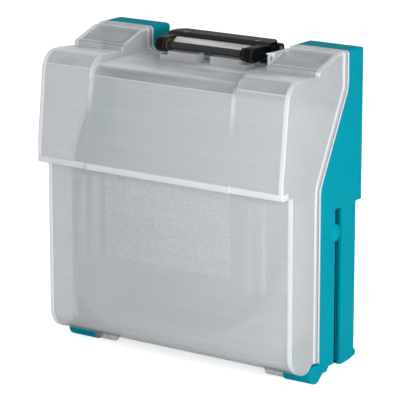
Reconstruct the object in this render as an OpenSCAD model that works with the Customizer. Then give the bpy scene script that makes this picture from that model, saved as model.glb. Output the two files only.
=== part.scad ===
// Saw blade storage case: a deep back shell, a frosted drop-front cover hinged at its
// foot, and a bail handle in the top recess that also holds the cover shut.
// X runs across the case, Y from the cover (-) to the back (+), Z up from the floor.
// The origin is on the floor under the middle of the case.

/* [Case] */
// Overall width across the side walls
case_w = 284; // [280:1:304]
// Overall height from the floor to the tops of the horns
case_h = 308; // [304:1:330]
// Overall depth from the foot of the hood to the back face
case_d = 136.2; // [132:0.2:150]
// Wall of the back shell
shell_wall = 2.6; // [2:0.1:3.2]
// Radius of the back shell's outer edges
shell_r = 3.5; // [3:0.5:6]
// Width of each horn beside the handle recess
horn_w = 60.8; // [56:0.2:64]
// Depth of the handle recess below the horns' tops
recess_drop = 22; // [20:0.5:26]

/* [Side profile] */
// Depth of the back shell at its lower front edge
shell_depth_low = 72.9; // [70:0.1:78]
// Depth of the back shell at its top
shell_depth_top = 26.7; // [25:0.1:32]
// Height where the front edge begins to slant back
slant_z = 185; // [178:1:195]
// Length of the straight front edge above the slant
slant_top = 35; // [31:1:42]
// Height of the step in the back face
step_z = 163; // [155:1:168]
// How far the lower back face stands in from the upper one
step_in = 12.4; // [9:0.1:14]
// Height of the shell's underside above the floor
belly_z = 12; // [11:0.5:14]
// Length of the rear lip that turns out at the foot of the back face
lip_out = 3.6; // [2:0.2:5]
// Width of the two standing feet under the rear rail
foot_w = 42; // [30:1:60]

/* [Side rails] */
// Width of the rail groove in each side wall
groove_w = 12.5; // [10:0.5:13]
// Depth of the rail groove
groove_deep = 6; // [4:0.2:6.4]
// Distance of the groove's rear edge from the back face
groove_back = 35.6; // [34:0.2:38]
// Distance of the groove's closed end below the step in the back face
groove_below = 1; // [0:0.5:6]
// Diameter of the click dome beside the groove
dome_d = 16; // [12:0.5:18]
// Height that the dome stands proud of the side wall
dome_rise = 3.2; // [2:0.1:4]
// Height of the dome's middle above the floor
dome_z = 139; // [120:1:146]

/* [Cover] */
// Wall of the cover
cover_wall = 2.2; // [1.8:0.1:2.6]
// Width of the rim lip that laps over the shell's seal
rim_w = 5.8; // [5:0.2:7]
// How far the rim lip stands out of the cover's walls
rim_step = 1.4; // [1:0.1:1.8]
// Height of the cover's underside above the floor
cover_z = 13.5; // [11:0.5:15]
// Radius of the cover's front bottom edge
toe_r = 22; // [16:0.5:26]
// How far the hood stands out in front of the window
hood_out = 17.6; // [14:0.2:20]
// Height of the hood's underside
hood_z = 186.4; // [180:0.2:192]
// How far the hood's front leans back over its height
hood_lean = 12; // [9:0.2:14]
// Height of the shoulders below the horns' tops
shoulder_drop = 15.6; // [14:0.2:17]
// Radius over the front of the shoulders
shoulder_r = 19; // [15:0.5:22]
// Radius over the front of the middle field
brow_r = 15; // [12:0.5:18]
// Radius of the cover's upright front edges
cover_edge_r = 2.5; // [2:0.5:4]
// Height of the horn hoods' front walls
horn_front = 4.5; // [3:0.5:6]
// Distance from the horn hoods' front walls back to the rim
horn_run = 48.1; // [44:0.1:52]
// Flat top of the horn hoods in front of the rim
horn_flat = 11.5; // [10:0.5:16]
// Diameter of the padlock eye in the tab beside the right horn hood
lock_d = 5; // [4:0.5:5.5]
// Width of the two guide ribs behind the window
rib_w = 17; // [14:0.5:20]
// Length of the two guide ribs
rib_h = 92; // [70:1:100]
// How far the guide ribs stand behind the window
rib_deep = 9; // [6:0.5:12]

/* [Cover hinge] */
// Diameter of the hinge pins
pin_d = 4; // [3:0.5:5]
// Outer radius of the hinge lobes
lobe_r = 9; // [8.5:0.5:10]
// Length of each shell lobe along the axis
lobe_w = 31; // [26:0.5:36]
// Length of each cover knuckle along the axis
knuckle_w = 20.4; // [16:0.2:24]
// Distance of the hinge axis in front of the shell's edge
hinge_out = 6.2; // [5.6:0.2:7]
// Running clearance on a pin's radius
pin_play = 0.05; // [0.03:0.01:0.08]
// Gap between pieces that pass each other
part_gap = 0.3; // [0.3:0.05:0.45]

/* [Handle] */
// Diameter of the grip bar
bar_d = 7.4; // [6.6:0.2:8]
// Bare length of the grip bar between its two bushes
bar_len = 83.5; // [78:0.5:90]
// Distance of the bar's axis in front of the pivot
bar_reach = 33; // [31:0.5:35]
// Distance of the bar's axis below the horns' tops
bar_drop = 10.2; // [9.8:0.1:10.6]
// Outer diameter of the arms' round ends
arm_end_d = 14.2; // [13.4:0.2:14.4]
// Width of each arm
arm_w = 9; // [7:0.5:10]
// Length of the flange that closes each end of the bar
bush_w = 3; // [2:0.2:4]
// Diameter of the handle's pivot rod
pivot_d = 3.6; // [3:0.2:4]
// Distance of the pivot in front of the back face
pivot_back = 20.1; // [19.6:0.1:21]
// Distance of the pivot below the horns' tops
pivot_drop = 7; // [6.6:0.1:7.4]
// Thickness of the handle's top plate
plate_t = 3.4; // [3:0.2:4]
// Thickness of each pivot bracket's ear
ear_t = 4.6; // [4:0.2:5]

/* [Blade tray] */
// Largest blade that the tray holds
blade_d = 255; // [240:1:256]
// Number of blades that the tray holds
blade_n = 6; // [4:1:6]
// Thickness of the tray's combs
comb_t = 2.6; // [2:0.2:3.4]
// Depth of the slot that a blade's rim stands in
comb_deep = 9; // [6:0.5:11]
// Wall of the tray
tray_wall = 2; // [1.6:0.1:2.4]
// Height of the tray's side walls above the floor
tray_top = 176; // [160:1:200]
// Height of the liner's top edge above the floor
liner_top = 248; // [225:1:262]
// Thickness of the liner behind the blades
liner_t = 1.8; // [1.5:0.1:2.2]
// Shank diameter of the small screws
screw_d = 3; // [2.5:0.1:3.5]

/* [Hidden] */
$fn = 48;
teal = [0.0, 0.55, 0.65];
frost = [0.82, 0.85, 0.87];
tray_grey = [0.80, 0.81, 0.82];
seal_grey = [0.50, 0.47, 0.45];
black = [0.12, 0.12, 0.13];
steel = [0.62, 0.63, 0.65];

// Planes and lines that several pieces share
half_w = case_w / 2;
y_back = case_d / 2;
y_hood = -case_d / 2;
y_window = y_hood + hood_out;
y_low = y_back - shell_depth_low;
y_top = y_back - shell_depth_top;
y_heel = y_back - step_in;
recess_z = case_h - recess_drop;
recess_x = half_w - horn_w;
shoulder_z = case_h - shoulder_drop;
hinge_y = y_low - hinge_out;
hinge_z = lobe_r;
bar_y = y_back - pivot_back - bar_reach;
bar_z = case_h - bar_drop;
pivot_y = y_back - pivot_back;
pivot_z = case_h - pivot_drop;
over = 1;

// Outlines are lists of [x, y, corner radius, open]. An open edge starts at a point with
// open = 1: an inset pushes it outwards instead, so that a hollow runs out through it.
function flat2(p) = [p[0], p[1]];
function unit(v) = v / norm(v);
function turn(a, b, c) = cross(flat2(b) - flat2(a), flat2(c) - flat2(b));
function left(a, b) = let (d = unit(flat2(b) - flat2(a))) [-d[1], d[0]];
function before(pts, i) = pts[(i + len(pts) - 1) % len(pts)];
function after(pts, i) = pts[(i + 1) % len(pts)];
function push(p, t, run) = p[3] == 1 ? -run : t;

// A corner moved so that each of its two edges lies its own distance inside
function moved(a, b, c, da, db) = let (na = left(a, b), nb = left(b, c), k = cross(na, nb))
    flat2(b) + (abs(k) < 0.001 ? na * da : [da * nb[1] - db * na[1], db * na[0] - da * nb[0]] / k);

// An outline moved in by t, with its open edges moved out by run
function inset(pts, t, run = 10) = [for (i = [0 : len(pts) - 1])
    let (a = before(pts, i), b = pts[i], c = after(pts, i), da = push(a, t, run), db = push(b, t, run))
    let (m = moved(a, b, c, da, db), r = b[2] - sign(turn(a, b, c)) * da)
    [m[0], m[1], da == db && b[2] > 0 ? max(r, 0.4) : 0, b[3]]];

// Distance from a corner back to where its round starts, and the round's middle
function half_angle(a, b, c) = acos(unit(flat2(a) - flat2(b)) * unit(flat2(c) - flat2(b))) / 2;
function tangent_run(a, b, c) = b[2] / tan(half_angle(a, b, c));
function tangents(a, b, c) = let (p = flat2(b), d = tangent_run(a, b, c))
    b[2] > 0 ? [p + unit(flat2(a) - p) * d, p + unit(flat2(c) - p) * d] : [p];
function round_mid(a, b, c) = let (p = flat2(b))
    p + unit(unit(flat2(a) - p) + unit(flat2(c) - p)) * b[2] / sin(half_angle(a, b, c));

// The patch that a corner's round is cut to: from a little behind the ends of the round,
// inside the outline, to a little beyond the corner's point
function patch_end(p, mid, to, r, out) = p + unit(flat2(to) - p) * r * 0.1 + unit(p - mid) * r * out;
function patch(a, b, c) = let (mid = round_mid(a, b, c), ends = tangents(a, b, c), r = b[2])
    [patch_end(ends[0], mid, a, r, -0.05), patch_end(ends[1], mid, c, r, -0.05),
    patch_end(ends[1], mid, c, r, 0.25), flat2(b) + unit(flat2(b) - mid) * r * 0.3,
    patch_end(ends[0], mid, a, r, 0.25)];

// The true arcs of an outline's outward corners (way = 1) or inward ones (way = -1). Each
// circle stands a hair proud of its two edges, so that it crosses them cleanly.
proud = 0.001;
module rounds(pts, way) {
    for (i = [0 : len(pts) - 1]) {
        a = before(pts, i);
        b = pts[i];
        c = after(pts, i);
        if (b[2] > 0 && sign(turn(a, b, c)) == way)
            intersection() {
                translate(round_mid(a, b, c)) circle(r = b[2] + proud);
                polygon(patch(a, b, c));
            }
    }
}

// A filled outline with a true arc at each rounded corner
module outline(pts) {
    difference() {
        union() {
            polygon([for (i = [0 : len(pts) - 1]) each tangents(before(pts, i), pts[i], after(pts, i))]);
            rounds(pts, 1);
        }
        rounds(pts, -1);
    }
}

// Flat drawings stood up: the first runs along X, the second along Y
module along_x(x0, x1) {
    translate([x0, 0, 0]) rotate([90, 0, 90]) linear_extrude(x1 - x0) children();
}
module along_y(y0, y1) {
    translate([0, y1, 0]) rotate([90, 0, 0]) linear_extrude(y1 - y0) children();
}
module rod_x(x0, x1, y, z, r) {
    translate([x0, y, z]) rotate([0, 90, 0]) cylinder(r = r, h = x1 - x0);
}
module rod_y(y0, y1, x, z, r) {
    translate([x, y1, z]) rotate([90, 0, 0]) cylinder(r = r, h = y1 - y0);
}
module both_sides() {
    children();
    mirror([1, 0, 0]) children();
}

// Side outline of the back shell, in Y and Z
function shell_side() = [
    [y_low, belly_z, 0, 0],
    [y_heel, belly_z, 3, 0],
    [y_heel, step_z, 1.5, 0],
    [y_back, step_z, 0, 0],
    [y_back, case_h, shell_r, 0],
    [y_top, case_h, 0, 1],
    [y_top, case_h - slant_top, 20, 1],
    [y_low, slant_z, 20, 1]];

// Front outline of the whole case with its handle recess, in X and Z
function case_front(r = shell_r) = [
    [-half_w, 0, 0, 1],
    [half_w, 0, 0, 0],
    [half_w, case_h, r, 0],
    [recess_x, case_h, r, 0],
    [recess_x, recess_z, r, 0],
    [-recess_x, recess_z, r, 0],
    [-recess_x, case_h, r, 0],
    [-half_w, case_h, r, 0]];

// Plan of the whole case, in X and Y
function case_plan(front = 0) = [
    [-half_w, y_hood - front, cover_edge_r, 0],
    [half_w, y_hood - front, cover_edge_r, 0],
    [half_w, y_back, shell_r, 0],
    [-half_w, y_back, shell_r, 0]];

// A slice of the case: the side drawing given as a child, trimmed to the case's front
// outline and plan, both moved in by t. Front is how far the plan runs on past the hood.
module case_slice(t, front = 0) {
    intersection() {
        along_x(-half_w - over, half_w + over) children();
        along_y(y_hood - 20, y_back + 20) outline(inset(case_front(), t));
        translate([0, 0, -20]) linear_extrude(case_h + 40) outline(inset(case_plan(front), t));
    }
}

module shell_body(t, run) {
    case_slice(t, 20) outline(inset(shell_side(), t, run));
}

groove_y1 = y_back - groove_back;
groove_y0 = groove_y1 - groove_w;
groove_z = step_z - groove_below;

// The open rail groove in one side wall, and the wall that closes it inside
module groove(grow) {
    x0 = half_w - groove_deep - grow;
    translate([x0, groove_y0 - grow, -over])
        cube([groove_deep + grow + over, groove_w + 2 * grow, groove_z + grow + over]);
}

// The ear that carries the cover's hinge pin, in side view
lobe_root_z = belly_z + 14;
module lobe_side() {
    translate([hinge_y, hinge_z]) circle(r = lobe_r);
    polygon([[hinge_y, hinge_z], [hinge_y + lobe_r * 0.8, hinge_z - lobe_r * 0.6],
        [y_low + 6.5, belly_z - 4.5], [y_low + 13.4, belly_z - 4.5], [y_low + 16.8, belly_z + over],
        [y_low + 16.8, belly_z + 8], [y_low, lobe_root_z], [y_low, hinge_z + 8],
        [hinge_y, hinge_z + lobe_r]]);
}

lobe_x = half_w - lobe_w;
knuckle_x = lobe_x - part_gap - knuckle_w;
rail_z = belly_z - 4;

// The rear rail under the case with the lip that turns out behind it
module rail_side() {
    polygon([[groove_y1, belly_z + over], [groove_y1, rail_z], [y_heel - 8, rail_z + 0.8],
        [y_heel + lip_out - 1, belly_z - 0.6], [y_heel + lip_out, belly_z + 1],
        [y_heel + lip_out - 1, belly_z + 4.6], [y_heel, belly_z + 6.6], [y_heel - over, belly_z + 6.6],
        [y_heel - shell_wall, belly_z + over]]);
}

foot_x = half_w - 82;
module foot() {
    translate([foot_x, 0, 0]) rotate([90, 0, 90]) linear_extrude(foot_w)
        polygon([[groove_y1 + 4, 0], [y_heel - 3, 0], [y_heel - 1, rail_z + 2], [groove_y1 + 1, rail_z + 2]]);
}

boss_r = screw_d / 2 + 2.4;
boss_x = half_w - 40;
boss_low_z = 62;
boss_high_z = 232;
liner_y = y_heel - shell_wall - part_gap - liner_t;

// A screw boss that reaches from a wall of the shell to the piece it holds
module liner_boss(z, y_wall) {
    difference() {
        rod_y(liner_y + liner_t, y_wall + 0.5, boss_x, z, boss_r);
        rod_y(liner_y, y_wall - 0.8, boss_x, z, screw_d / 2);
    }
}

tray_z = belly_z + shell_wall + 4;
tray_boss_x = 62;
screw_end_z = belly_z + shell_wall + 0.3;
module tray_boss(y) {
    translate([tray_boss_x, y, belly_z + 1]) difference() {
        cylinder(r = boss_r, h = tray_z - belly_z - 1);
        translate([0, 0, 0.6]) cylinder(r = screw_d / 2, h = 10);
    }
}

bracket_x0 = 42;
bracket_x1 = bracket_x0 + 21.5;
bracket_y0 = y_top + 1.4;
bracket_y1 = bracket_y0 + 15.6;
bracket_screw_x = [bracket_x0 + 5, bracket_x0 + 12];
bracket_screw_y = bracket_y0 + 10.5;
bracket_base = 3.4;
screw_head_r = screw_d / 2 + 1.3;
screw_head_h = 1.7;
screw_fit = 0.05;

// The click dome: one turned piece, a shallow cap on a round stub that stands in the groove
dome_y = groove_y0 + 1.5;
dome_ball = (dome_d * dome_d / 4 + dome_rise * dome_rise) / (2 * dome_rise);
dome_root = groove_deep + 1.2;
module dome() {
    translate([half_w - dome_root, dome_y, dome_z]) rotate([0, 90, 0]) rotate_extrude()
        intersection() {
            translate([0, dome_root + dome_rise - dome_ball]) circle(r = dome_ball, $fn = 180);
            square([dome_d / 2, dome_root + dome_rise]);
        }
}

module back_shell() color(teal) {
    difference() {
        union() {
            difference() {
                shell_body(0, 0);
                difference() {
                    shell_body(shell_wall, 10);
                    both_sides() groove(shell_wall);
                }
                both_sides() groove(0);
            }
            both_sides() along_x(lobe_x, half_w) lobe_side();
            along_x(-half_w, half_w) rail_side();
            both_sides() foot();
            both_sides() dome();
            both_sides() liner_boss(boss_low_z, y_heel - shell_wall);
            both_sides() liner_boss(boss_high_z, y_back - shell_wall);
            both_sides() for (y = tray_boss_y) tray_boss(y);
        }
        both_sides() rod_x(knuckle_x - part_gap, lobe_x, hinge_y, hinge_z, lobe_r + part_gap);
        both_sides() rod_x(lobe_x - over, half_w - pin_blind, hinge_y, hinge_z, pin_d / 2);
        both_sides() for (x = bracket_screw_x)
            translate([x, bracket_screw_y, recess_z - shell_wall - over])
                cylinder(d = screw_d, h = shell_wall + 2 * over);
    }
}

// Side outline of the cover, with its rim along the shell's slanted edge
y_rim_low = y_low - part_gap;
y_rim_top = y_top - part_gap;
horn_y = y_rim_top - horn_run;
function lean_y(z) = y_hood + hood_lean * (z - hood_z) / (shoulder_z - hood_z);
function cover_base() = [
    [y_window, cover_z, toe_r, 0],
    [y_rim_low, cover_z, 0, 1],
    [y_rim_low, slant_z, 20, 1],
    [y_rim_top, case_h - slant_top, 20, 1]];
function cover_hood() = [
    [y_hood, hood_z, 0, 0],
    [y_window, hood_z, 2.5, 0]];

// Under the horns the outline steps up over the shoulder to the horn hood
function cover_side() = concat(cover_base(), [
    [y_rim_top, case_h, 0, 0],
    [y_rim_top - horn_flat, case_h, 2, 0],
    [horn_y, shoulder_z - 1.9 + horn_front, 1.5, 0],
    [horn_y, shoulder_z - 1.9, 1, 0],
    [horn_y - 22, shoulder_z, 30, 0],
    [lean_y(shoulder_z), shoulder_z, shoulder_r, 0]], cover_hood());

// Between the horns it runs level with the recess floor and rolls over the brow
function cover_middle() = concat(cover_base(), [
    [y_rim_top, recess_z - rim_step, 0, 0],
    [lean_y(recess_z), recess_z - rim_step, brow_r, 0]], cover_hood());

// The cover's form moved in by t; run moves its open rim edges out, or in if negative
module cover_form(t, run) {
    x = recess_x + rim_step + t;
    both_sides() intersection() {
        case_slice(rim_step + t) outline(inset(cover_side(), t, run));
        translate([x, y_hood - 20, -20]) cube([half_w, case_d + 40, case_h + 40]);
    }
    along_x(-x, x) outline(inset(cover_middle(), t, run));
}

// A strip along the shell's front edge, from w0 to w1 in front of it, in side view
function rim_line() = [
    [y_hood - 40, cover_z, 0, 0],
    [y_low, cover_z, 0, 1],
    [y_low, slant_z, 20, 1],
    [y_top, case_h - slant_top, 20, 1],
    [y_top, case_h + 10, 0, 0],
    [y_hood - 40, case_h + 10, 0, 0]];
module rim_strip(w0, w1) {
    difference() {
        outline(inset(rim_line(), 0, -w0));
        outline(inset(rim_line(), -5, -w1));
    }
}

rim_wall = 2.2;
rim_root = 2;
module cover_rim() {
    difference() {
        case_slice(0) rim_strip(part_gap, rim_w + rim_root);
        case_slice(rim_wall) rim_strip(-10, rim_w + rim_root + 10);
    }
}

// Room round each hinge lobe in the cover's sides and floor, in side view
lobe_room = lobe_r + 2.2;
module lobe_gap_side() {
    translate([hinge_y, hinge_z]) circle(r = lobe_room);
    polygon([[hinge_y - 15.4, -over], [hinge_y - 15.4, cover_z], [hinge_y - 10, hinge_z + 5.6],
        [hinge_y, hinge_z], [y_low + over, hinge_z], [y_low + over, -over]]);
}

knuckle_r = lobe_r - 1;
module knuckle_side() {
    translate([hinge_y, hinge_z]) circle(r = knuckle_r);
    polygon([[hinge_y, hinge_z + knuckle_r - 0.6], [hinge_y - 13, cover_z + cover_wall + 1.4],
        [hinge_y - 24, cover_z + 1], [hinge_y - 13, cover_z], [hinge_y - 5, hinge_z - 5.6]]);
}

rib_x = half_w - 45.5;
rib_z0 = hood_z - 8.4 - rib_h;
rib_wall = 1.6;
function rib_outline() = let (r = rib_w / 2 - 0.1) [
    [rib_x - rib_w / 2, rib_z0, r, 0],
    [rib_x + rib_w / 2, rib_z0, r, 0],
    [rib_x + rib_w / 2, rib_z0 + rib_h, r, 0],
    [rib_x - rib_w / 2, rib_z0 + rib_h, r, 0]];
module guide_rib() {
    along_y(y_window + cover_wall - 0.4, y_window + cover_wall + rib_deep) difference() {
        outline(rib_outline());
        outline(inset(rib_outline(), rib_wall));
    }
}

// The tab with a padlock eye that stands up in front of the right horn hood. It carries on
// the hood's inner wall and its rounded top, and sits on the hood's slanted face.
tab_y = horn_y + 1.2;
tab_top = case_h - rim_step;
lock_y = tab_y + 4.6;
lock_z = tab_top - 5.4;
module tab_side() {
    difference() {
        outline([
            [tab_y, shoulder_z, 0, 0],
            [y_rim_top - horn_flat, shoulder_z, 0, 0],
            [y_rim_top - horn_flat, tab_top + over, 0, 0],
            [tab_y, tab_top + over, 6, 0]]);
        outline(cover_side());
        translate([lock_y, lock_z]) circle(r = lock_d / 2);
    }
}
module padlock_tab() color(frost)
    intersection() {
        case_slice(rim_step) tab_side();
        translate([recess_x, tab_y - over, shoulder_z])
            cube([rim_step + cover_wall, horn_run, shoulder_drop]);
    }

module cover_shell() color(frost) {
    difference() {
        union() {
            difference() {
                cover_form(0, -rim_w);
                cover_form(cover_wall, 10);
            }
            cover_rim();
            both_sides() guide_rib();
            both_sides() along_x(knuckle_x, knuckle_x + knuckle_w) knuckle_side();
        }
        both_sides()
            rod_x(knuckle_x - over, knuckle_x + knuckle_w + over, hinge_y, hinge_z, pin_d / 2 + pin_play);
        both_sides() along_x(lobe_x - part_gap, half_w + over) lobe_gap_side();
    }
}

// The seal that the cover's rim closes over, fixed inside the shell's front edge
seal_t = 1.6;
seal_deep = rim_w - 0.6;
seal_root = 3;
module rim_seal() color(seal_grey) {
    difference() {
        case_slice(shell_wall + screw_fit) difference() {
            rim_strip(-seal_root, seal_deep);
            translate([y_hood, -over]) square([case_d, hinge_z + lobe_r + over + 1.5]);
            translate([y_low - part_gap, -over]) square([case_d, lobe_root_z + over + 0.5]);
        }
        case_slice(shell_wall + screw_fit + seal_t) rim_strip(-seal_root - 10, seal_deep + 10);
    }
}

// A hinge pin: pressed blind into the shell's lobe, with the cover's knuckle turning on it
pin_blind = 8;
module hinge_pin() rod_x(knuckle_x, half_w - pin_blind, hinge_y, hinge_z, pin_d / 2);
module hinge_pin_right() color(steel) hinge_pin();
module hinge_pin_left() color(steel) mirror([1, 0, 0]) hinge_pin();

// The pale liner on the back wall, with two pressed ribs and four screw holes
liner_w = case_w - 2 * shell_wall - 2;
liner_z0 = belly_z + shell_wall + 0.4;
function liner_outline() = [
    [-liner_w / 2, liner_z0, 2, 0],
    [liner_w / 2, liner_z0, 2, 0],
    [liner_w / 2, liner_top, 8, 0],
    [-liner_w / 2, liner_top, 8, 0]];
module liner_panel() color(tray_grey) {
    difference() {
        along_y(liner_y, liner_y + liner_t) outline(liner_outline());
        both_sides() for (z = [boss_low_z, boss_high_z])
            rod_y(liner_y - over, liner_y + liner_t + over, boss_x, z, screw_d / 2 + screw_fit);
    }
}

// A small screw along Y, its head towards the cover
module liner_screw(x, z) {
    rod_y(liner_y - screw_head_h, liner_y - 0.02, x, z, screw_head_r);
    rod_y(liner_y - 0.5, y_heel - shell_wall - 1.2, x, z, screw_d / 2 - 0.03);
}
module liner_screws() color(steel)
    both_sides() for (z = [boss_low_z, boss_high_z]) liner_screw(boss_x, z);

// The blade tray: a trough crossed by combs, so that each blade stands in its own slot
tray_x = half_w - groove_deep - shell_wall - 0.5;
tray_foot_x = lobe_x - 13;
tray_y0 = y_low - 17;
tray_y1 = liner_y - screw_head_h - part_gap;
blade_z = tray_z + tray_wall + blade_d / 2;
comb_pitch = (tray_y1 - tray_y0 - comb_t) / blade_n;
tray_boss_y = [for (slot = [ceil(blade_n / 2) - 1, blade_n - 1])
    tray_y0 + comb_t / 2 + (slot + 0.5) * comb_pitch];
function tray_outline() = [
    [-tray_foot_x, tray_z, 4, 0],
    [tray_foot_x, tray_z, 4, 0],
    [tray_x, tray_z + 29, 8, 0],
    [tray_x, tray_top, 0, 1],
    [-tray_x, tray_top, 0, 0],
    [-tray_x, tray_z + 29, 8, 0]];
module comb_side() {
    difference() {
        outline(inset(tray_outline(), tray_wall / 2, -1));
        translate([0, blade_z]) circle(r = blade_d / 2 - comb_deep, $fn = 120);
        translate([comb_deep - blade_d / 2, blade_z]) square([blade_d - 2 * comb_deep, blade_d / 2]);
    }
}
module blade_tray() color(tray_grey) {
    difference() {
        union() {
            along_y(tray_y0, tray_y1) difference() {
                outline(tray_outline());
                outline(inset(tray_outline(), tray_wall));
            }
            for (i = [0 : blade_n])
                translate([0, tray_y0 + i * comb_pitch, 0]) along_y(0, comb_t) comb_side();
        }
        both_sides() for (y = tray_boss_y)
            translate([tray_boss_x, y, tray_z - over])
                cylinder(r = screw_d / 2 + screw_fit, h = tray_wall + 2 * over);
    }
}
module tray_screws() color(steel)
    both_sides() for (y = tray_boss_y) translate([tray_boss_x, y, 0]) {
        translate([0, 0, tray_z + tray_wall + 0.02]) cylinder(r = screw_head_r, h = screw_head_h);
        translate([0, 0, screw_end_z])
            cylinder(r = screw_d / 2 - 0.03, h = tray_z + tray_wall + 0.5 - screw_end_z);
    }

// Pivot brackets on the recess floor: a screwed base with a ribbed front, an ear, and a
// nib that stops the raised handle when the plate's rear edge comes down on it
plate_x = 58;
plate_run = 9;
ear_x0 = plate_x + 0.5;
barrel_r = pivot_d / 2 + 2.8;
nib_w = 2;
nib_top = pivot_z - plate_run - 0.2;
module bracket() {
    difference() {
        union() {
            along_x(bracket_x0, ear_x0 + ear_t) difference() {
                outline([
                    [bracket_y0, recess_z, 0, 0],
                    [bracket_y1, recess_z, 0, 0],
                    [bracket_y1, recess_z + bracket_base, 1, 0],
                    [bracket_y0, recess_z + bracket_base, 0.6, 0]]);
                for (z = [0.8, 2]) translate([bracket_y0 - over, recess_z + z]) square([over + 0.7, 0.6]);
            }
            translate([bracket_x0, pivot_y + 2.2, recess_z + 1]) cube([nib_w, 4.4, nib_top - recess_z - 1]);
            along_x(ear_x0, ear_x0 + ear_t) {
                translate([pivot_y, pivot_z]) circle(r = barrel_r);
                polygon([[pivot_y - barrel_r, pivot_z], [bracket_y0 + 0.4, recess_z + over],
                    [bracket_y1 - 0.4, recess_z + over], [pivot_y + barrel_r, pivot_z]]);
            }
        }
        rod_x(ear_x0 - over, ear_x0 + ear_t + over, pivot_y, pivot_z, pivot_d / 2 + 0.02);
        for (x = bracket_screw_x) translate([x, bracket_screw_y, recess_z - over]) {
            cylinder(r = screw_d / 2 + screw_fit, h = bracket_base + 2 * over);
            translate([0, 0, over + bracket_base - screw_head_h]) cylinder(r = screw_head_r + 0.1, h = 5);
        }
    }
}
module bracket_right() color(black) bracket();
module bracket_left() color(black) mirror([1, 0, 0]) bracket();
module bracket_screws() color(steel)
    both_sides() for (x = bracket_screw_x) translate([x, bracket_screw_y, 0]) {
        translate([0, 0, recess_z + bracket_base - screw_head_h + 0.02])
            cylinder(r = screw_head_r, h = screw_head_h - 0.1);
        translate([0, 0, recess_z - shell_wall - 2])
            cylinder(r = screw_d / 2 - 0.03, h = shell_wall + bracket_base + 1);
    }
module pivot_rod() color(black)
    rod_x(-ear_x0 - ear_t + 0.4, ear_x0 + ear_t - 0.4, pivot_y, pivot_z, pivot_d / 2);

// The handle: two arms with round ends, joined by a bevelled top plate at the pivot
arm_x1 = bar_len / 2 + bush_w + 10.2;
arm_x0 = arm_x1 - arm_w;
plate_z = case_h - 1;
plate_under = plate_z - plate_t;
plate_back = pivot_y + plate_run;
plate_bevel = pivot_y - 10.4;
plate_front = pivot_y - 16.5;
spigot_r = 2.5;
sleeve_r = 3.4;
spigot_l = bush_w + 7;
bush_r = arm_end_d / 2 - 0.9;
module arm_side() {
    translate([bar_y, bar_z]) circle(d = arm_end_d);
    outline([[bar_y, bar_z - arm_end_d / 2, 0, 0], [bar_y + 15, bar_z - arm_end_d / 2 + 1, 3, 0],
        [bar_y + 19, pivot_z - barrel_r + 0.6, 3, 0], [pivot_y, pivot_z - barrel_r, 0, 0],
        [pivot_y + barrel_r - 0.2, pivot_z, 0, 0], [pivot_y + 4, plate_under + over, 0, 0],
        [pivot_y - 13, plate_under + over, 2, 0], [pivot_y - 18, bar_z + arm_end_d / 2, 2, 0],
        [bar_y, bar_z + arm_end_d / 2, 0, 0]]);
    translate([pivot_y, pivot_z]) circle(r = barrel_r);
}
module plate_plan() {
    outline([[-plate_x, plate_front, 2, 0], [plate_x, plate_front, 2, 0], [plate_x, pivot_y + 0.5, 3, 0],
        [plate_x - 8, plate_back, 3, 0], [8 - plate_x, plate_back, 3, 0], [-plate_x, pivot_y + 0.5, 3, 0]]);
}
insert_screw_x = 41;
insert_screw_y = pivot_y - 8;
module handle_frame() color(black) {
    difference() {
        union() {
            both_sides() along_x(arm_x0, arm_x1) arm_side();
            both_sides() rod_x(arm_x0, plate_x, pivot_y, pivot_z, barrel_r);
            intersection() {
                along_x(-plate_x, plate_x) outline([[plate_front, plate_under, 0.5, 0],
                    [plate_back, plate_under, 1, 0], [plate_back, plate_z, 1.6, 0],
                    [plate_bevel, plate_z, 2, 0], [plate_front, plate_z - 2.2, 0.4, 0]]);
                translate([0, 0, plate_under - over]) linear_extrude(plate_t + 2 * over) plate_plan();
            }
        }
        both_sides() rod_x(arm_x0 - over, plate_x + over, pivot_y, pivot_z, pivot_d / 2 + pin_play);
        both_sides()
            rod_x(bar_len / 2 + bush_w - over, bar_len / 2 + spigot_l + 0.3, bar_y, bar_z, sleeve_r + 0.02);
        both_sides() translate([insert_screw_x, insert_screw_y, plate_under - over]) {
            cylinder(r = 1.3, h = plate_t + 2 * over);
            translate([0, 0, over + plate_t - 1.2]) cylinder(r = 2.5, h = 5);
        }
    }
}
module grip_bar() color(black) {
    rod_x(-bar_len / 2, bar_len / 2, bar_y, bar_z, bar_d / 2);
    both_sides() rod_x(bar_len / 2 - over, bar_len / 2 + spigot_l, bar_y, bar_z, spigot_r);
}
module bar_bush() {
    difference() {
        union() {
            rod_x(bar_len / 2 + 0.02, bar_len / 2 + bush_w - 0.02, bar_y, bar_z, bush_r);
            rod_x(bar_len / 2 + 0.5, bar_len / 2 + spigot_l, bar_y, bar_z, sleeve_r);
        }
        rod_x(bar_len / 2 - over, bar_len / 2 + spigot_l + over, bar_y, bar_z, spigot_r + 0.02);
    }
}
module bar_bush_right() color(black) bar_bush();
module bar_bush_left() color(black) mirror([1, 0, 0]) bar_bush();

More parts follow.
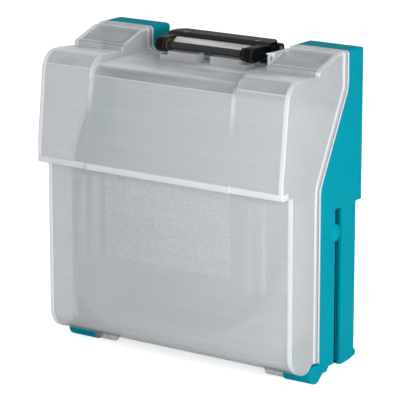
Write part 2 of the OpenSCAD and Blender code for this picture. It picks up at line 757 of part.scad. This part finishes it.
// The pale strip between the bar and the plate, with a tab screwed up under the plate
insert_t = 1.6;
bar_top = bar_z + bar_d / 2;
module grip_insert() color(frost) {
    x = arm_x0 - 0.1;
    difference() {
        along_x(-x, x) polygon([
            [bar_y + 4.4, bar_top - 2.4], [bar_y + 11, bar_top - 0.6], [plate_front - 0.3, plate_under - 0.2],
            [plate_front + 10, plate_under - 0.05], [plate_front + 10, plate_under - insert_t],
            [plate_front, plate_under - insert_t], [bar_y + 11.6, bar_top - 0.6 - insert_t],
            [bar_y + 4.6, bar_top - 2.4 - insert_t]]);
        both_sides() rod_x(bar_len / 2 - part_gap, x + over, bar_y, bar_z, bush_r + part_gap);
        both_sides() translate([insert_screw_x, insert_screw_y, plate_under - 5]) cylinder(r = 1.05, h = 10);
    }
}
module insert_screws() color(steel)
    both_sides() translate([insert_screw_x, insert_screw_y, 0]) {
        translate([0, 0, plate_z - 1.15]) cylinder(r = 2.3, h = 1);
        translate([0, 0, plate_under - insert_t - 0.4]) cylinder(r = 1, h = plate_t + 1.4);
    }

// The two blocks on the cover's recess floor that the closed handle bears down on
catch_x0 = 8;
catch_x1 = 50;
catch_y0 = bar_y - 7;
catch_y1 = bar_y + 7;
catch_top = bar_z - bar_d / 2 - 1.2;
catch_low = bar_z - arm_end_d / 2 - 1.6;
catch_seat = recess_z - rim_step + 0.02;
module catch_block() {
    x = bar_len / 2 - 0.6;
    along_x(catch_x0, x) outline([[catch_y0, catch_seat, 0, 0], [catch_y1, catch_seat, 0, 0],
        [catch_y1, catch_top, 1.2, 0], [catch_y0 + 1, catch_top, 1.2, 0]]);
    along_x(x - 0.5, catch_x1) outline([[catch_y0, catch_seat, 0, 0], [catch_y1, catch_seat, 0, 0],
        [catch_y1, catch_low, 1, 0], [catch_y0 + 0.5, catch_low, 1, 0]]);
}
module catch_right() color(frost) catch_block();
module catch_left() color(frost) mirror([1, 0, 0]) catch_block();

back_shell();
rim_seal();
liner_panel();
liner_screws();
blade_tray();
tray_screws();
hinge_pin_left();
hinge_pin_right();
bracket_left();
bracket_right();
bracket_screws();
pivot_rod();
cover_shell();
padlock_tab();
catch_left();
catch_right();
handle_frame();
grip_bar();
bar_bush_left();
bar_bush_right();
grip_insert();
insert_screws();
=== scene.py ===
"""Saw blade storage case, dressed: frosted cover, teal shell, black folding handle."""

import math

import bpy
import numpy as np
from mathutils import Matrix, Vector


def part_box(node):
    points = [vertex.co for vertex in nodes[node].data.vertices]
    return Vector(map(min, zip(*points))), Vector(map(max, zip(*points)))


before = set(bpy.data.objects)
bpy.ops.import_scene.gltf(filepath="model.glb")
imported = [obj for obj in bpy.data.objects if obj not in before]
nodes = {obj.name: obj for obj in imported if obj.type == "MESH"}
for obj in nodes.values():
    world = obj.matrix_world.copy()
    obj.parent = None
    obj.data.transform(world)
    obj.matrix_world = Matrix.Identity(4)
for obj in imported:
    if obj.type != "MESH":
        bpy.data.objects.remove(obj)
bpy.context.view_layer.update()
MM = 0.001

# The corners of the pieces that the finishes are laid out on
cover_low, cover_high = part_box("cover_shell")
shell_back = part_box("back_shell")[1].y
insert_low, insert_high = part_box("grip_insert")
half_w = cover_high.x


def srgb(red, green, blue):
    """A colour given as 0 to 255 display values, turned to linear light: above 0.04045 each
    share c becomes ((c + 0.055) / 1.055) to the power 2.4, and below it c / 12.92."""
    share = np.array([red, green, blue]) / 255.0
    line = np.where(share <= 0.04045, share / 12.92, ((share + 0.055) / 1.055) ** 2.4)
    return (float(line[0]), float(line[1]), float(line[2]), 1.0)


def scaled(colour, gain, lift=0.0):
    """A colour with each part times gain, plus lift, and at most 1."""
    return tuple(min(1, part * gain + lift) for part in colour[:3]) + (1.0,)


class Finish:
    """A material under construction: its node tree, with short ways to add and join nodes."""

    def __init__(self, name):
        self.material = bpy.data.materials.new(name)
        self.material.use_nodes = True
        self.tree = self.material.node_tree
        self.shader = self.tree.nodes["Principled BSDF"]
        where = self.add("ShaderNodeTexCoord")
        self.place = where.outputs["Object"]
        self.normal = where.outputs["Normal"]

    def add(self, kind, **settings):
        node = self.tree.nodes.new(kind)
        for key, value in settings.items():
            setattr(node, key, value)
        return node

    def join(self, source, target):
        self.tree.links.new(source, target)

    def feed(self, value, socket):
        """Joins another node's output to a socket, or sets a plain value on it."""
        if isinstance(value, bpy.types.NodeSocket):
            self.join(value, socket)
        else:
            socket.default_value = value

    def set(self, **values):
        """Sets plain numbers or colours on the shader's own sockets."""
        for key, value in values.items():
            self.shader.inputs[key.replace("_", " ")].default_value = value

    def shade(self, **sources):
        """Joins other nodes' outputs to the shader's own sockets."""
        for key, source in sources.items():
            self.join(source, self.shader.inputs[key.replace("_", " ")])

    def math(self, operation, first, second=0.5, clamp=False):
        node = self.add("ShaderNodeMath", operation=operation, use_clamp=clamp)
        self.feed(first, node.inputs[0])
        self.feed(second, node.inputs[1])
        return node.outputs[0]

    def grain(self, size, detail=2.0, stretch=(1, 1, 1)):
        """Noise whose lumps are about size metres across; stretch scales each axis."""
        mapping = self.add("ShaderNodeMapping")
        mapping.inputs["Scale"].default_value = [s / size for s in stretch]
        self.join(self.place, mapping.inputs["Vector"])
        noise = self.add("ShaderNodeTexNoise")
        noise.inputs["Scale"].default_value = 1.0
        noise.inputs["Detail"].default_value = detail
        self.join(mapping.outputs[0], noise.inputs["Vector"])
        return noise.outputs["Fac"]

    def span(self, factor, low, high, start=0.0, end=1.0):
        """A number that runs from low to high while factor runs from start to end."""
        node = self.add("ShaderNodeMapRange")
        ends = {"From Min": start, "From Max": end, "To Min": low, "To Max": high}
        for name, value in ends.items():
            node.inputs[name].default_value = value
        self.join(factor, node.inputs["Value"])
        return node.outputs[0]

    def above(self, factor, level, soft, share=1.0):
        """share where factor is over level and 0 where it is under, over a step soft wide."""
        return self.span(factor, 0.0, share, level - soft / 2, level + soft / 2)

    def below(self, factor, level, soft, share=1.0):
        """share where factor is under level and 0 where it is over, over a step soft wide."""
        return self.span(factor, share, 0.0, level - soft / 2, level + soft / 2)

    def within(self, factor, low, high, soft):
        """1 where factor lies between low and high and 0 outside, over steps soft wide."""
        return self.both(self.above(factor, low, soft), self.below(factor, high, soft))

    def both(self, first, *others):
        """The product of several shares: near 1 only where all of them are."""
        for other in others:
            first = self.math("MULTIPLY", first, other)
        return first

    def either(self, first, *others):
        """The largest of several shares: near 1 where any of them is."""
        for other in others:
            first = self.math("MAXIMUM", first, other)
        return first

    def but_not(self, first, other):
        """first where other is 0, and 0 where other is 1."""
        return self.both(first, self.math("SUBTRACT", 1.0, other))

    def blend(self, factor, first, second):
        """Mixes two colours, each a plain colour or another node's colour."""
        mix = self.add("ShaderNodeMix", data_type="RGBA")
        self.feed(first, mix.inputs[6])
        self.feed(second, mix.inputs[7])
        self.join(factor, mix.inputs["Factor"])
        return mix.outputs[2]

    def ramp(self, factor, low, high, start=0.0, end=1.0):
        """A colour that runs from low to high while factor runs from start to end."""
        return self.blend(self.span(factor, 0.0, 1.0, start, end), low, high)

    def part(self, vector, name):
        """One of the three parts of a vector."""
        split = self.add("ShaderNodeSeparateXYZ")
        self.join(vector, split.inputs[0])
        return split.outputs[name]

    def axis(self, name):
        """One coordinate of the place on the object, in metres."""
        return self.part(self.place, name)

    def facing(self, name):
        """One part of the direction that the surface faces, in the object's own axes."""
        return self.part(self.normal, name)

    def soft_edges(self, radius):
        """A normal that turns over each sharp edge as if it were rounded to this radius."""
        node = self.add("ShaderNodeBevel", samples=6)
        node.inputs["Radius"].default_value = radius
        return node.outputs[0]

    def edge_share(self, radius, gain):
        """Near 1 along sharp edges and 0 on flats: one less the cosine between the rounded
        normal and the true one, times gain."""
        turned = self.add("ShaderNodeVectorMath", operation="DOT_PRODUCT")
        true = self.add("ShaderNodeNewGeometry")
        self.join(self.soft_edges(radius), turned.inputs[0])
        self.join(true.outputs["Normal"], turned.inputs[1])
        apart = self.math("SUBTRACT", 1.0, turned.outputs["Value"])
        return self.math("MULTIPLY", apart, gain, clamp=True)

    def bump(self, height, depth, radius):
        """Height as relief of the given depth in metres, over edges rounded to radius."""
        node = self.add("ShaderNodeBump")
        node.inputs["Distance"].default_value = depth
        self.join(height, node.inputs["Height"])
        self.join(self.soft_edges(radius), node.inputs["Normal"])
        self.shade(Normal=node.outputs[0])


# The rail groove in each side wall, as the part that takes painted shade lies
groove_floor_x, groove_mouth_x = half_w - 8 * MM, half_w - 3.7 * MM
groove_front_y, groove_back_y = shell_back - 48.35 * MM, shell_back - 35.35 * MM
groove_top_z = 162.1 * MM


def groove_share(make):
    """1 on the floor and walls of the rail groove in each side wall, and 0 elsewhere. They
    are told from the side wall's face by how far in they stand."""
    across = make.math("ABSOLUTE", make.axis("X"))
    inner = make.above(across, groove_floor_x, 0.4 * MM)
    outer = make.below(across, groove_mouth_x, 3.4 * MM)
    along = make.within(make.axis("Y"), groove_front_y, groove_back_y, 0.3 * MM)
    return make.both(inner, outer, along, make.below(make.axis("Z"), groove_top_z, 0.2 * MM))


def moulded(name, colour, rough, edge=0.6 * MM, shift=0.06, gloss=0.5, edge_highlight_colour=None, edge_highlight_gain=1.2, groove_shade=None):
    """Moulded plastic: a fine spark-eroded grain, slow drift of tone by shift, and edges that
    the mould left slightly rounded, with a painted highlight along them in a paler colour."""
    make = Finish(name)
    make.set(Specular_IOR_Level=gloss)
    drift = make.grain(60 * MM, 3.0)
    tone = make.ramp(drift, scaled(colour, 1 - shift), scaled(colour, 1 + shift), 0.35, 0.65)
    # Painted shade: the rail groove darkened to the given colour
    if groove_shade:
        tone = make.blend(groove_share(make), tone, groove_shade)
    # Painted highlight: a paler colour laid along the sharp edges
    edge_highlight = make.math("MULTIPLY", make.edge_share(edge * 1.6, edge_highlight_gain), 0.5)
    fine = make.grain(0.7 * MM)
    make.shade(Base_Color=make.blend(edge_highlight, tone, edge_highlight_colour or scaled(colour, 1.25, 0.01)))
    make.shade(Roughness=make.span(fine, rough - 0.05, rough + 0.07, 0.3, 0.7))
    make.bump(fine, 0.03 * MM, edge)
    return make


def streaked_insert():
    """The pale strip of the grip: smooth moulded plastic, light towards the bar and greyer
    towards the back, with flow streaks along its length."""
    make = Finish("streaked_insert")
    make.set(Specular_IOR_Level=0.35)
    depth = insert_high.y - insert_low.y
    streak = make.grain(2.2 * MM, 3.0, (0.03, 1, 1))
    back = make.span(make.axis("Y"), 0, 1, insert_low.y + 0.35 * depth, insert_low.y + 0.6 * depth)
    light = make.ramp(streak, srgb(186, 188, 190), srgb(232, 234, 236), 0.35, 0.65)
    grey = make.ramp(streak, srgb(128, 130, 133), srgb(184, 186, 188), 0.35, 0.65)
    make.shade(Base_Color=make.blend(back, light, grey), Roughness=make.span(streak, 0.3, 0.45))
    make.bump(streak, 0.04 * MM, 0.5 * MM)
    return make


def bright_steel():
    """Zinc-plated steel: metal with fine brushed scratches that follow X."""
    make = Finish("bright_steel")
    make.set(Metallic=1.0)
    brushed = make.grain(0.4 * MM, 3.0, (0.05, 1, 1))
    make.shade(Base_Color=make.ramp(brushed, (0.42, 0.43, 0.45, 1), (0.62, 0.63, 0.65, 1)))
    make.shade(Roughness=make.span(brushed, 0.22, 0.4))
    make.bump(brushed, 0.01 * MM, 0.2 * MM)
    return make


# Places where the cover's finish changes. The hood is the raised upper front, the step is
# where its middle meets the two shoulders, and the horns are the two hoods at the top. The
# step's painted highlight fades out downwards, and between the two faint heights it has none.
corner_x = half_w - 6 * MM
step_x = half_w - 60.8 * MM
step_fade_z = 249 * MM
faint_low_z, faint_top_z = 193.5 * MM, 231 * MM
hood_front_y = cover_low.y + 10.6 * MM
hood_lip_z = 192.3 * MM
bends_z = 252.5 * MM
horn_z = 296.2 * MM
# The window, with its matt field and the guide ribs behind it
window_y = -50.0 * MM
guide_y = window_y + 2.25 * MM
guide_x = half_w - 33.5 * MM
guide_low_z, guide_top_z = 60.5 * MM, 183.5 * MM
field_x = half_w / 2 + 1.5 * MM
field_low_z, field_top_z = 99.5 * MM, 184 * MM
# The rim meets the shell along a line that runs straight up, slants back between these two
# heights, and goes on straight up
slant_low_z, slant_top_z = 185 * MM, 273 * MM
rim_low_y, rim_top_y = -5.1 * MM, cover_high.y
rim_foot_z = 20.5 * MM
rim_line_w, seal_line_w = 2.55 * MM, 4.8 * MM
# How round the moulding's edges look, and how deep the field's pits are
edge_r, pit_deep = 1.9 * MM, 0.08 * MM
# The frame with its painted highlight and the panel of painted shade on each horn's slope,
# and where the right panel is cut short
frame_low_x, frame_high_x = step_x + 4.4 * MM, half_w - 7 * MM
frame_low_y, frame_high_y = -2.5 * MM, 25 * MM
panel_low_x, panel_high_x = step_x + 9.8 * MM, half_w - 13 * MM
panel_low_y, panel_high_y = -0.5 * MM, 22.5 * MM
panel_cut_y = 7.4 * MM
horn_slope_y = 28.75 * MM
# How far up a surface faces: the upward part of its normal, 1 on a level surface, 0 on an
# upright one and less on an underside
bend_end_up, bend_up, horn_up, bend_start_up, level_up = 0.41, 0.46, 0.825, 0.9625, 0.985
under_up = -0.45
# How much each place hides of what is behind it, from 0 to 1, and what the field adds to that
WALL_HIDES, WHITE_ADDS, LEVEL_HIDES, PANEL_HIDES = 0.48, 0.45, 0.8, 0.76
FIELD_ADDS, SPECK_ADDS = 0.08, 0.2
# How strongly each place takes the white of the painted highlight, from 0 to 1
CORNER_WHITE, STEP_WHITE, EDGE_WHITE, GUIDE_WHITE, RIM_WHITE = 0.68, 0.7, 0.85, 0.9, 0.85
BEND_START_HIGHLIGHT, BEND_END_HIGHLIGHT, FRAME_WHITE = 0.6, 0.45, 0.6
# How strongly the horn panels and the underside take their painted shade, and the seal's line its darker
# colour
PANEL_SHADE, SEAL_DARK, UNDERSIDE_SHADE = 0.26, 0.7, 0.7
RIGHT_PANEL = 0.3
# The painted highlight's white, the horn panels' painted shade, the seal's own brown and the underside's
# painted shade
PAINTED_HIGHLIGHT_WHITE = srgb(229, 233, 240)
PANEL_SHADE_GREY = srgb(126, 128, 131)
SEAL_BROWN = srgb(138, 127, 122)
UNDERSIDE_SHADE_GREY = srgb(104, 102, 100)


class FrostedCover(Finish):
    """Frosted clear plastic. The walls let a share of what is behind them through, and the thick
    moulded corners hide more of it. Painted highlights whiten those corners, the sharp edges, the
    lines at the bends and the rim's edge; the bends of brow and shoulders carry a painted dark
    reflection, and the horn panels and the bottom edge carry painted shade. Fine flow lines run
    across, and the window has a matt, finely pitted field."""

    def __init__(self):
        super().__init__("frosted_cover")
        # Place, how far sideways and up the surface faces, and the shares used more than once
        self.x, self.y, self.z = self.axis("X"), self.axis("Y"), self.axis("Z")
        self.across = self.math("ABSOLUTE", self.x)
        self.side = self.math("ABSOLUTE", self.facing("X"))
        self.up = self.facing("Z")
        self.ahead = self.below(self.side, 0.275, 0.25)
        self.off_step = self.math("ABSOLUTE", self.math("SUBTRACT", self.across, step_x))
        self.bends = self.above(self.z, bends_z, 5 * MM)
        self.horn_slope = self.both(self.math("GREATER_THAN", self.z, horn_z),
            self.above(self.up, horn_up, 0.05), self.below(self.y, horn_slope_y, 0.5 * MM))

    def thick_corners(self):
        """Where the thicker plastic hides more and a painted white highlight lies: the upright
        corners and their turn to the side walls, the step beside the shoulders and the hood's lip."""
        corner = self.both(self.above(self.across, corner_x, 1.6 * MM), self.ahead)
        turned = self.both(self.above(self.side, 0.2, 0.2), self.below(self.side, 0.945, 0.09))
        step = self.both(self.below(self.off_step, 2.3 * MM, 1 * MM, STEP_WHITE),
            self.above(self.z, step_fade_z, 26 * MM), self.ahead)
        lip = self.both(self.math("LESS_THAN", self.y, hood_front_y),
            self.below(self.z, hood_lip_z, 1.4 * MM))
        return self.either(corner, step, lip, turned)

    def thin_edges(self):
        """The painted highlight on the sharp edges and the guide ribs, without the step's faint end below
        the brow.
        """
        guides = self.both(self.above(self.y, guide_y, 0.5 * MM, GUIDE_WHITE),
            self.below(self.across, guide_x, 1 * MM),
            self.within(self.z, guide_low_z, guide_top_z, 1 * MM))
        faint = self.both(self.below(self.off_step, 3.5 * MM, 1 * MM), self.ahead,
            self.above(self.z, faint_low_z, 1 * MM), self.below(self.z, faint_top_z, 10 * MM))
        sharp = self.both(self.edge_share(edge_r, 4.0), EDGE_WHITE)
        return self.but_not(self.either(sharp, guides), faint)

    def highlight_lines(self):
        """Painted highlight lines at the start and end of each bend, and on the frame on each horn's
        slope.
        """
        # Painted highlight lines where each bend starts and where it ends
        start_line = self.within(self.up, bend_start_up - 0.0125, bend_start_up + 0.0125, 0.01)
        end_line = self.within(self.up, bend_end_up - 0.025, bend_end_up + 0.025, 0.03)
        bent = self.either(self.both(start_line, BEND_START_HIGHLIGHT), self.both(end_line, BEND_END_HIGHLIGHT))
        beside = self.either(self.below(self.across, frame_low_x, 1.2 * MM),
            self.above(self.across, frame_high_x, 1 * MM))
        ends = self.either(self.below(self.y, frame_low_y, 1 * MM),
            self.above(self.y, frame_high_y, 1 * MM))
        horn_frame = self.both(self.horn_slope, self.either(beside, ends), FRAME_WHITE)
        return self.either(self.both(self.bends, bent), horn_frame)

    def horn_panels(self):
        """The panel of painted shade in each horn's frame: whole on the left, and on the right whole
        only behind the cut and faint ahead of it."""
        wide = self.within(self.across, panel_low_x, panel_high_x, 1 * MM)
        long = self.within(self.y, panel_low_y, panel_high_y, 1 * MM)
        on_left = self.span(self.x, 1, RIGHT_PANEL, -10 * MM, 10 * MM)
        cut = self.either(on_left, self.above(self.y, panel_cut_y, 0.8 * MM))
        return self.both(self.horn_slope, wide, long, cut)

    def rim_lines(self):
        """The painted highlight along the edge that meets the shell, and the seal's dull line ahead
        of it, told by how far ahead of that edge they lie."""
        edge_y = self.span(self.z, rim_low_y, rim_top_y, slant_low_z, slant_top_z)
        from_rim = self.math("SUBTRACT", edge_y, self.y)
        over_foot = self.above(self.z, rim_foot_z, 1 * MM)
        rim_highlight = self.both(self.below(from_rim, rim_line_w, 0.3 * MM), over_foot)
        dull = self.both(self.above(from_rim, rim_line_w, 0.3 * MM),
            self.below(from_rim, seal_line_w, 0.4 * MM), over_foot)
        return rim_highlight, dull

    def paint(self):
        """Mixes the wall's own tone with the painted shade and the painted highlights, and sets
        colour, roughness, share let through and relief."""
        flow = self.grain(3.5 * MM, 3.0, (0.04, 1, 1))
        slow = self.grain(30 * MM, 2.0, (0.3, 1, 1))
        fine = self.grain(0.5 * MM)
        pits = self.grain(1.6 * MM, 2.0, (0.6, 1, 1.4))

        level = self.both(self.bends, self.above(self.up, level_up, 0.01))
        # The bends of brow and shoulders, where a painted dark reflection goes
        bend = self.both(self.bends, self.above(self.up, bend_up, 0.08),
            self.below(self.up, bend_start_up - 0.0075, 0.01))
        # The cover's bottom edge, facing down, where painted shade goes
        underside_shade = self.both(self.below(self.up, under_up, 0.3),
            self.below(self.z, rim_foot_z, 1 * MM, UNDERSIDE_SHADE))
        field = self.both(self.below(self.across, field_x, 2 * MM),
            self.above(self.z, field_low_z, 2 * MM),
            self.math("LESS_THAN", self.z, field_top_z), self.math("LESS_THAN", self.y, window_y))
        panel = self.horn_panels()
        rim_highlight, dull = self.rim_lines()
        # Painted highlight: where the cover is whitened
        painted_highlight = self.either(self.both(self.thick_corners(), CORNER_WHITE), self.thin_edges(),
            self.highlight_lines(), self.both(rim_highlight, RIM_WHITE))
        painted_highlight = self.but_not(painted_highlight, dull)

        tone = self.ramp(flow, srgb(205, 208, 211), srgb(211, 214, 217), 0.3, 0.7)
        # Painted dark reflection on the bends
        dark_reflection = self.ramp(slow, srgb(174, 176, 179), srgb(208, 210, 213), 0.35, 0.65)
        patchy = self.ramp(slow, srgb(186, 188, 191), srgb(244, 246, 248), 0.4, 0.6)
        tone = self.blend(bend, tone, dark_reflection)
        tone = self.blend(level, tone, patchy)
        # Painted shade on the horn panels
        tone = self.blend(self.both(panel, PANEL_SHADE), tone, PANEL_SHADE_GREY)
        # Painted shade on the cover's bottom edge
        tone = self.blend(underside_shade, tone, UNDERSIDE_SHADE_GREY)
        tone = self.blend(self.both(dull, SEAL_DARK), tone, SEAL_BROWN)
        self.shade(Base_Color=self.blend(painted_highlight, tone, PAINTED_HIGHLIGHT_WHITE))

        self.shade(Roughness=self.math("ADD", self.span(fine, 0.24, 0.34), self.both(field, 0.2)))
        whitened = self.math("ADD", WALL_HIDES, self.both(painted_highlight, WHITE_ADDS))
        cloudy = self.either(whitened, self.both(level, LEVEL_HIDES), self.both(panel, PANEL_HIDES))
        speck = self.both(field, self.span(pits, -0.35, 0.35, 0.3, 0.7))
        filled = self.math("ADD", self.both(field, FIELD_ADDS), self.both(speck, SPECK_ADDS))
        self.shade(Alpha=self.math("ADD", cloudy, filled, clamp=True))
        relief = self.math("ADD", self.both(fine, 0.2), self.both(pits, field))
        self.bump(relief, pit_deep, edge_r)


frost = FrostedCover()
frost.paint()
# The paler colours given for the edges below are painted highlights, and the groove's colour is painted
# shade
teal = moulded("teal_moulding", srgb(0, 142, 160), 0.5, edge=0.8 * MM, shift=0.03, gloss=0.02,
    edge_highlight_colour=srgb(40, 196, 214), edge_highlight_gain=3, groove_shade=srgb(0, 66, 78))
black = moulded("black_moulding", srgb(8, 8, 9), 0.3, edge=0.8 * MM, gloss=0.14,
    edge_highlight_colour=srgb(118, 118, 120), edge_highlight_gain=4)
bar_black = moulded("black_bar", srgb(16, 16, 17), 0.32, edge=0.4 * MM, gloss=0.9)
bush_olive = moulded("olive_bush", srgb(52, 48, 34), 0.4, edge=0.4 * MM, gloss=0.3)
tray_grey = moulded("tray_grey", srgb(182, 185, 188), 0.5)
liner_grey = moulded("liner_grey", srgb(208, 211, 214), 0.5)
frosted_catch = moulded("frosted_catch", srgb(204, 206, 209), 0.4, edge=0.7 * MM, edge_highlight_colour=srgb(244, 246, 248))
frosted_catch.set(Alpha=0.62)
seal_grey = moulded("grey_seal", srgb(126, 118, 112), 0.8, edge=0.3 * MM)
steel = bright_steel()

FINISHES = {
    "back_shell": teal,
    "rim_seal": seal_grey,
    "liner_panel": liner_grey,
    "blade_tray": tray_grey,
    "liner_screws": steel,
    "tray_screws": steel,
    "hinge_pin_left": steel,
    "hinge_pin_right": steel,
    "bracket_left": black,
    "bracket_right": black,
    "bracket_screws": steel,
    "pivot_rod": steel,
    "cover_shell": frost,
    "padlock_tab": frost,
    "catch_left": frosted_catch,
    "catch_right": frosted_catch,
    "handle_frame": black,
    "grip_bar": bar_black,
    "bar_bush_left": bush_olive,
    "bar_bush_right": black,
    "grip_insert": streaked_insert(),
    "insert_screws": steel,
}
for name, finish in FINISHES.items():
    piece = nodes[name]
    piece.data.materials.clear()
    piece.data.materials.append(finish.material)

# The floor's tone and the glow that the camera adds to it, the world's strength on the object
# and as the camera sees it, where 1 is white, and half the floor's side in metres
FLOOR_TONE, FLOOR_GLOW = 0.93, 0.7
WORLD_ON_OBJECT, WORLD_SEEN = 0.41, 1.0
FLOOR_HALF = 6.0

# Each lamp's name, place and width in metres, and power in watts
LAMPS = (
    ("key", (0.8, -0.65, 0.35), 0.5, 9.0),
    ("fill", (-1.5, -1.5, 1.0), 1.4, 0.4),
    ("top", (0.1, 0.5, 2.2), 1.6, 11.0),
)
LAMP_AIM = Vector((0, 0, 0.15))


def face_towards(thing, place, direction):
    """Puts a lamp or camera at place, looking along direction, and adds it to the scene."""
    thing.location = place
    thing.rotation_mode = "QUATERNION"
    thing.rotation_quaternion = direction.to_track_quat("-Z", "Y")
    bpy.context.collection.objects.link(thing)


def pale_floor():
    """A flat square under the object: pale to every ray, and with a glow added that only the
    camera sees, so that it shows white and keeps the object's shadow."""
    corners = [(x * FLOOR_HALF, y * FLOOR_HALF, 0) for x, y in ((-1, -1), (1, -1), (1, 1), (-1, 1))]
    mesh = bpy.data.meshes.new("floor")
    mesh.from_pydata(corners, [], [(0, 1, 2, 3)])
    floor = bpy.data.objects.new("floor", mesh)
    bpy.context.collection.objects.link(floor)
    make = Finish("pale_floor")
    make.set(Base_Color=(FLOOR_TONE, FLOOR_TONE, FLOOR_TONE, 1), Roughness=0.8)
    path = make.add("ShaderNodeLightPath")
    glow = make.add("ShaderNodeEmission")
    glow.inputs["Strength"].default_value = FLOOR_GLOW
    glowing = make.add("ShaderNodeAddShader")
    make.join(make.shader.outputs[0], glowing.inputs[0])
    make.join(glow.outputs[0], glowing.inputs[1])
    pick = make.add("ShaderNodeMixShader")
    make.join(path.outputs["Is Camera Ray"], pick.inputs["Fac"])
    make.join(make.shader.outputs[0], pick.inputs[1])
    make.join(glowing.outputs[0], pick.inputs[2])
    make.join(pick.outputs[0], make.tree.nodes["Material Output"].inputs["Surface"])
    mesh.materials.append(make.material)


def white_world():
    """A soft even light on the object, shown as plain white to the camera and through it."""
    world = bpy.data.worlds.new("studio")
    bpy.context.scene.world = world
    world.use_nodes = True
    tree = world.node_tree
    sky = tree.nodes["Background"]
    path = tree.nodes.new("ShaderNodeLightPath")
    seen = tree.nodes.new("ShaderNodeMath")
    seen.operation = "MAXIMUM"
    tree.links.new(path.outputs["Is Camera Ray"], seen.inputs[0])
    tree.links.new(path.outputs["Is Transmission Ray"], seen.inputs[1])
    level = tree.nodes.new("ShaderNodeMapRange")
    level.inputs["To Min"].default_value = WORLD_ON_OBJECT
    level.inputs["To Max"].default_value = WORLD_SEEN
    tree.links.new(seen.outputs[0], level.inputs["Value"])
    tree.links.new(level.outputs[0], sky.inputs["Strength"])
    sky.inputs["Color"].default_value = (1, 1, 1, 1)


def soft_lamps():
    """Square lamps to the right, to the left and above, all turned to the object."""
    for name, place, width, power in LAMPS:
        data = bpy.data.lights.new(name, "AREA")
        data.energy = power
        data.size = width
        face_towards(bpy.data.objects.new(name, data), place, LAMP_AIM - Vector(place))


# The camera fitted to edges in the photograph: where it stands, in degrees and metres, the
# picture's width and the focal length in pixels, and the shift of the picture in widths
CAMERA_TURN, CAMERA_RISE = math.radians(34.99), math.radians(14.02)
CAMERA_AIM = Vector((0, 18, 158)) * MM
CAMERA_AWAY = 2.363
PHOTO_WIDTH, FOCAL_LENGTH = 400, 2466
SENSOR = 36
CAMERA_SHIFT = (-0.02125, -0.0185)
FAR_END = 50


def photo_camera():
    """The photograph's view: to the right of the front and a little above."""
    ahead = math.cos(CAMERA_RISE)
    back = Vector((math.sin(CAMERA_TURN) * ahead, -math.cos(CAMERA_TURN) * ahead, math.sin(CAMERA_RISE)))
    data = bpy.data.cameras.new("camera")
    data.lens = FOCAL_LENGTH / PHOTO_WIDTH * SENSOR
    data.sensor_width = SENSOR
    data.shift_x, data.shift_y = CAMERA_SHIFT
    data.clip_end = FAR_END
    camera = bpy.data.objects.new("camera", data)
    face_towards(camera, CAMERA_AIM + back * CAMERA_AWAY, -back)
    bpy.context.scene.camera = camera


pale_floor()
white_world()
soft_lamps()
photo_camera()
bpy.context.scene.view_settings.view_transform = "Standard"
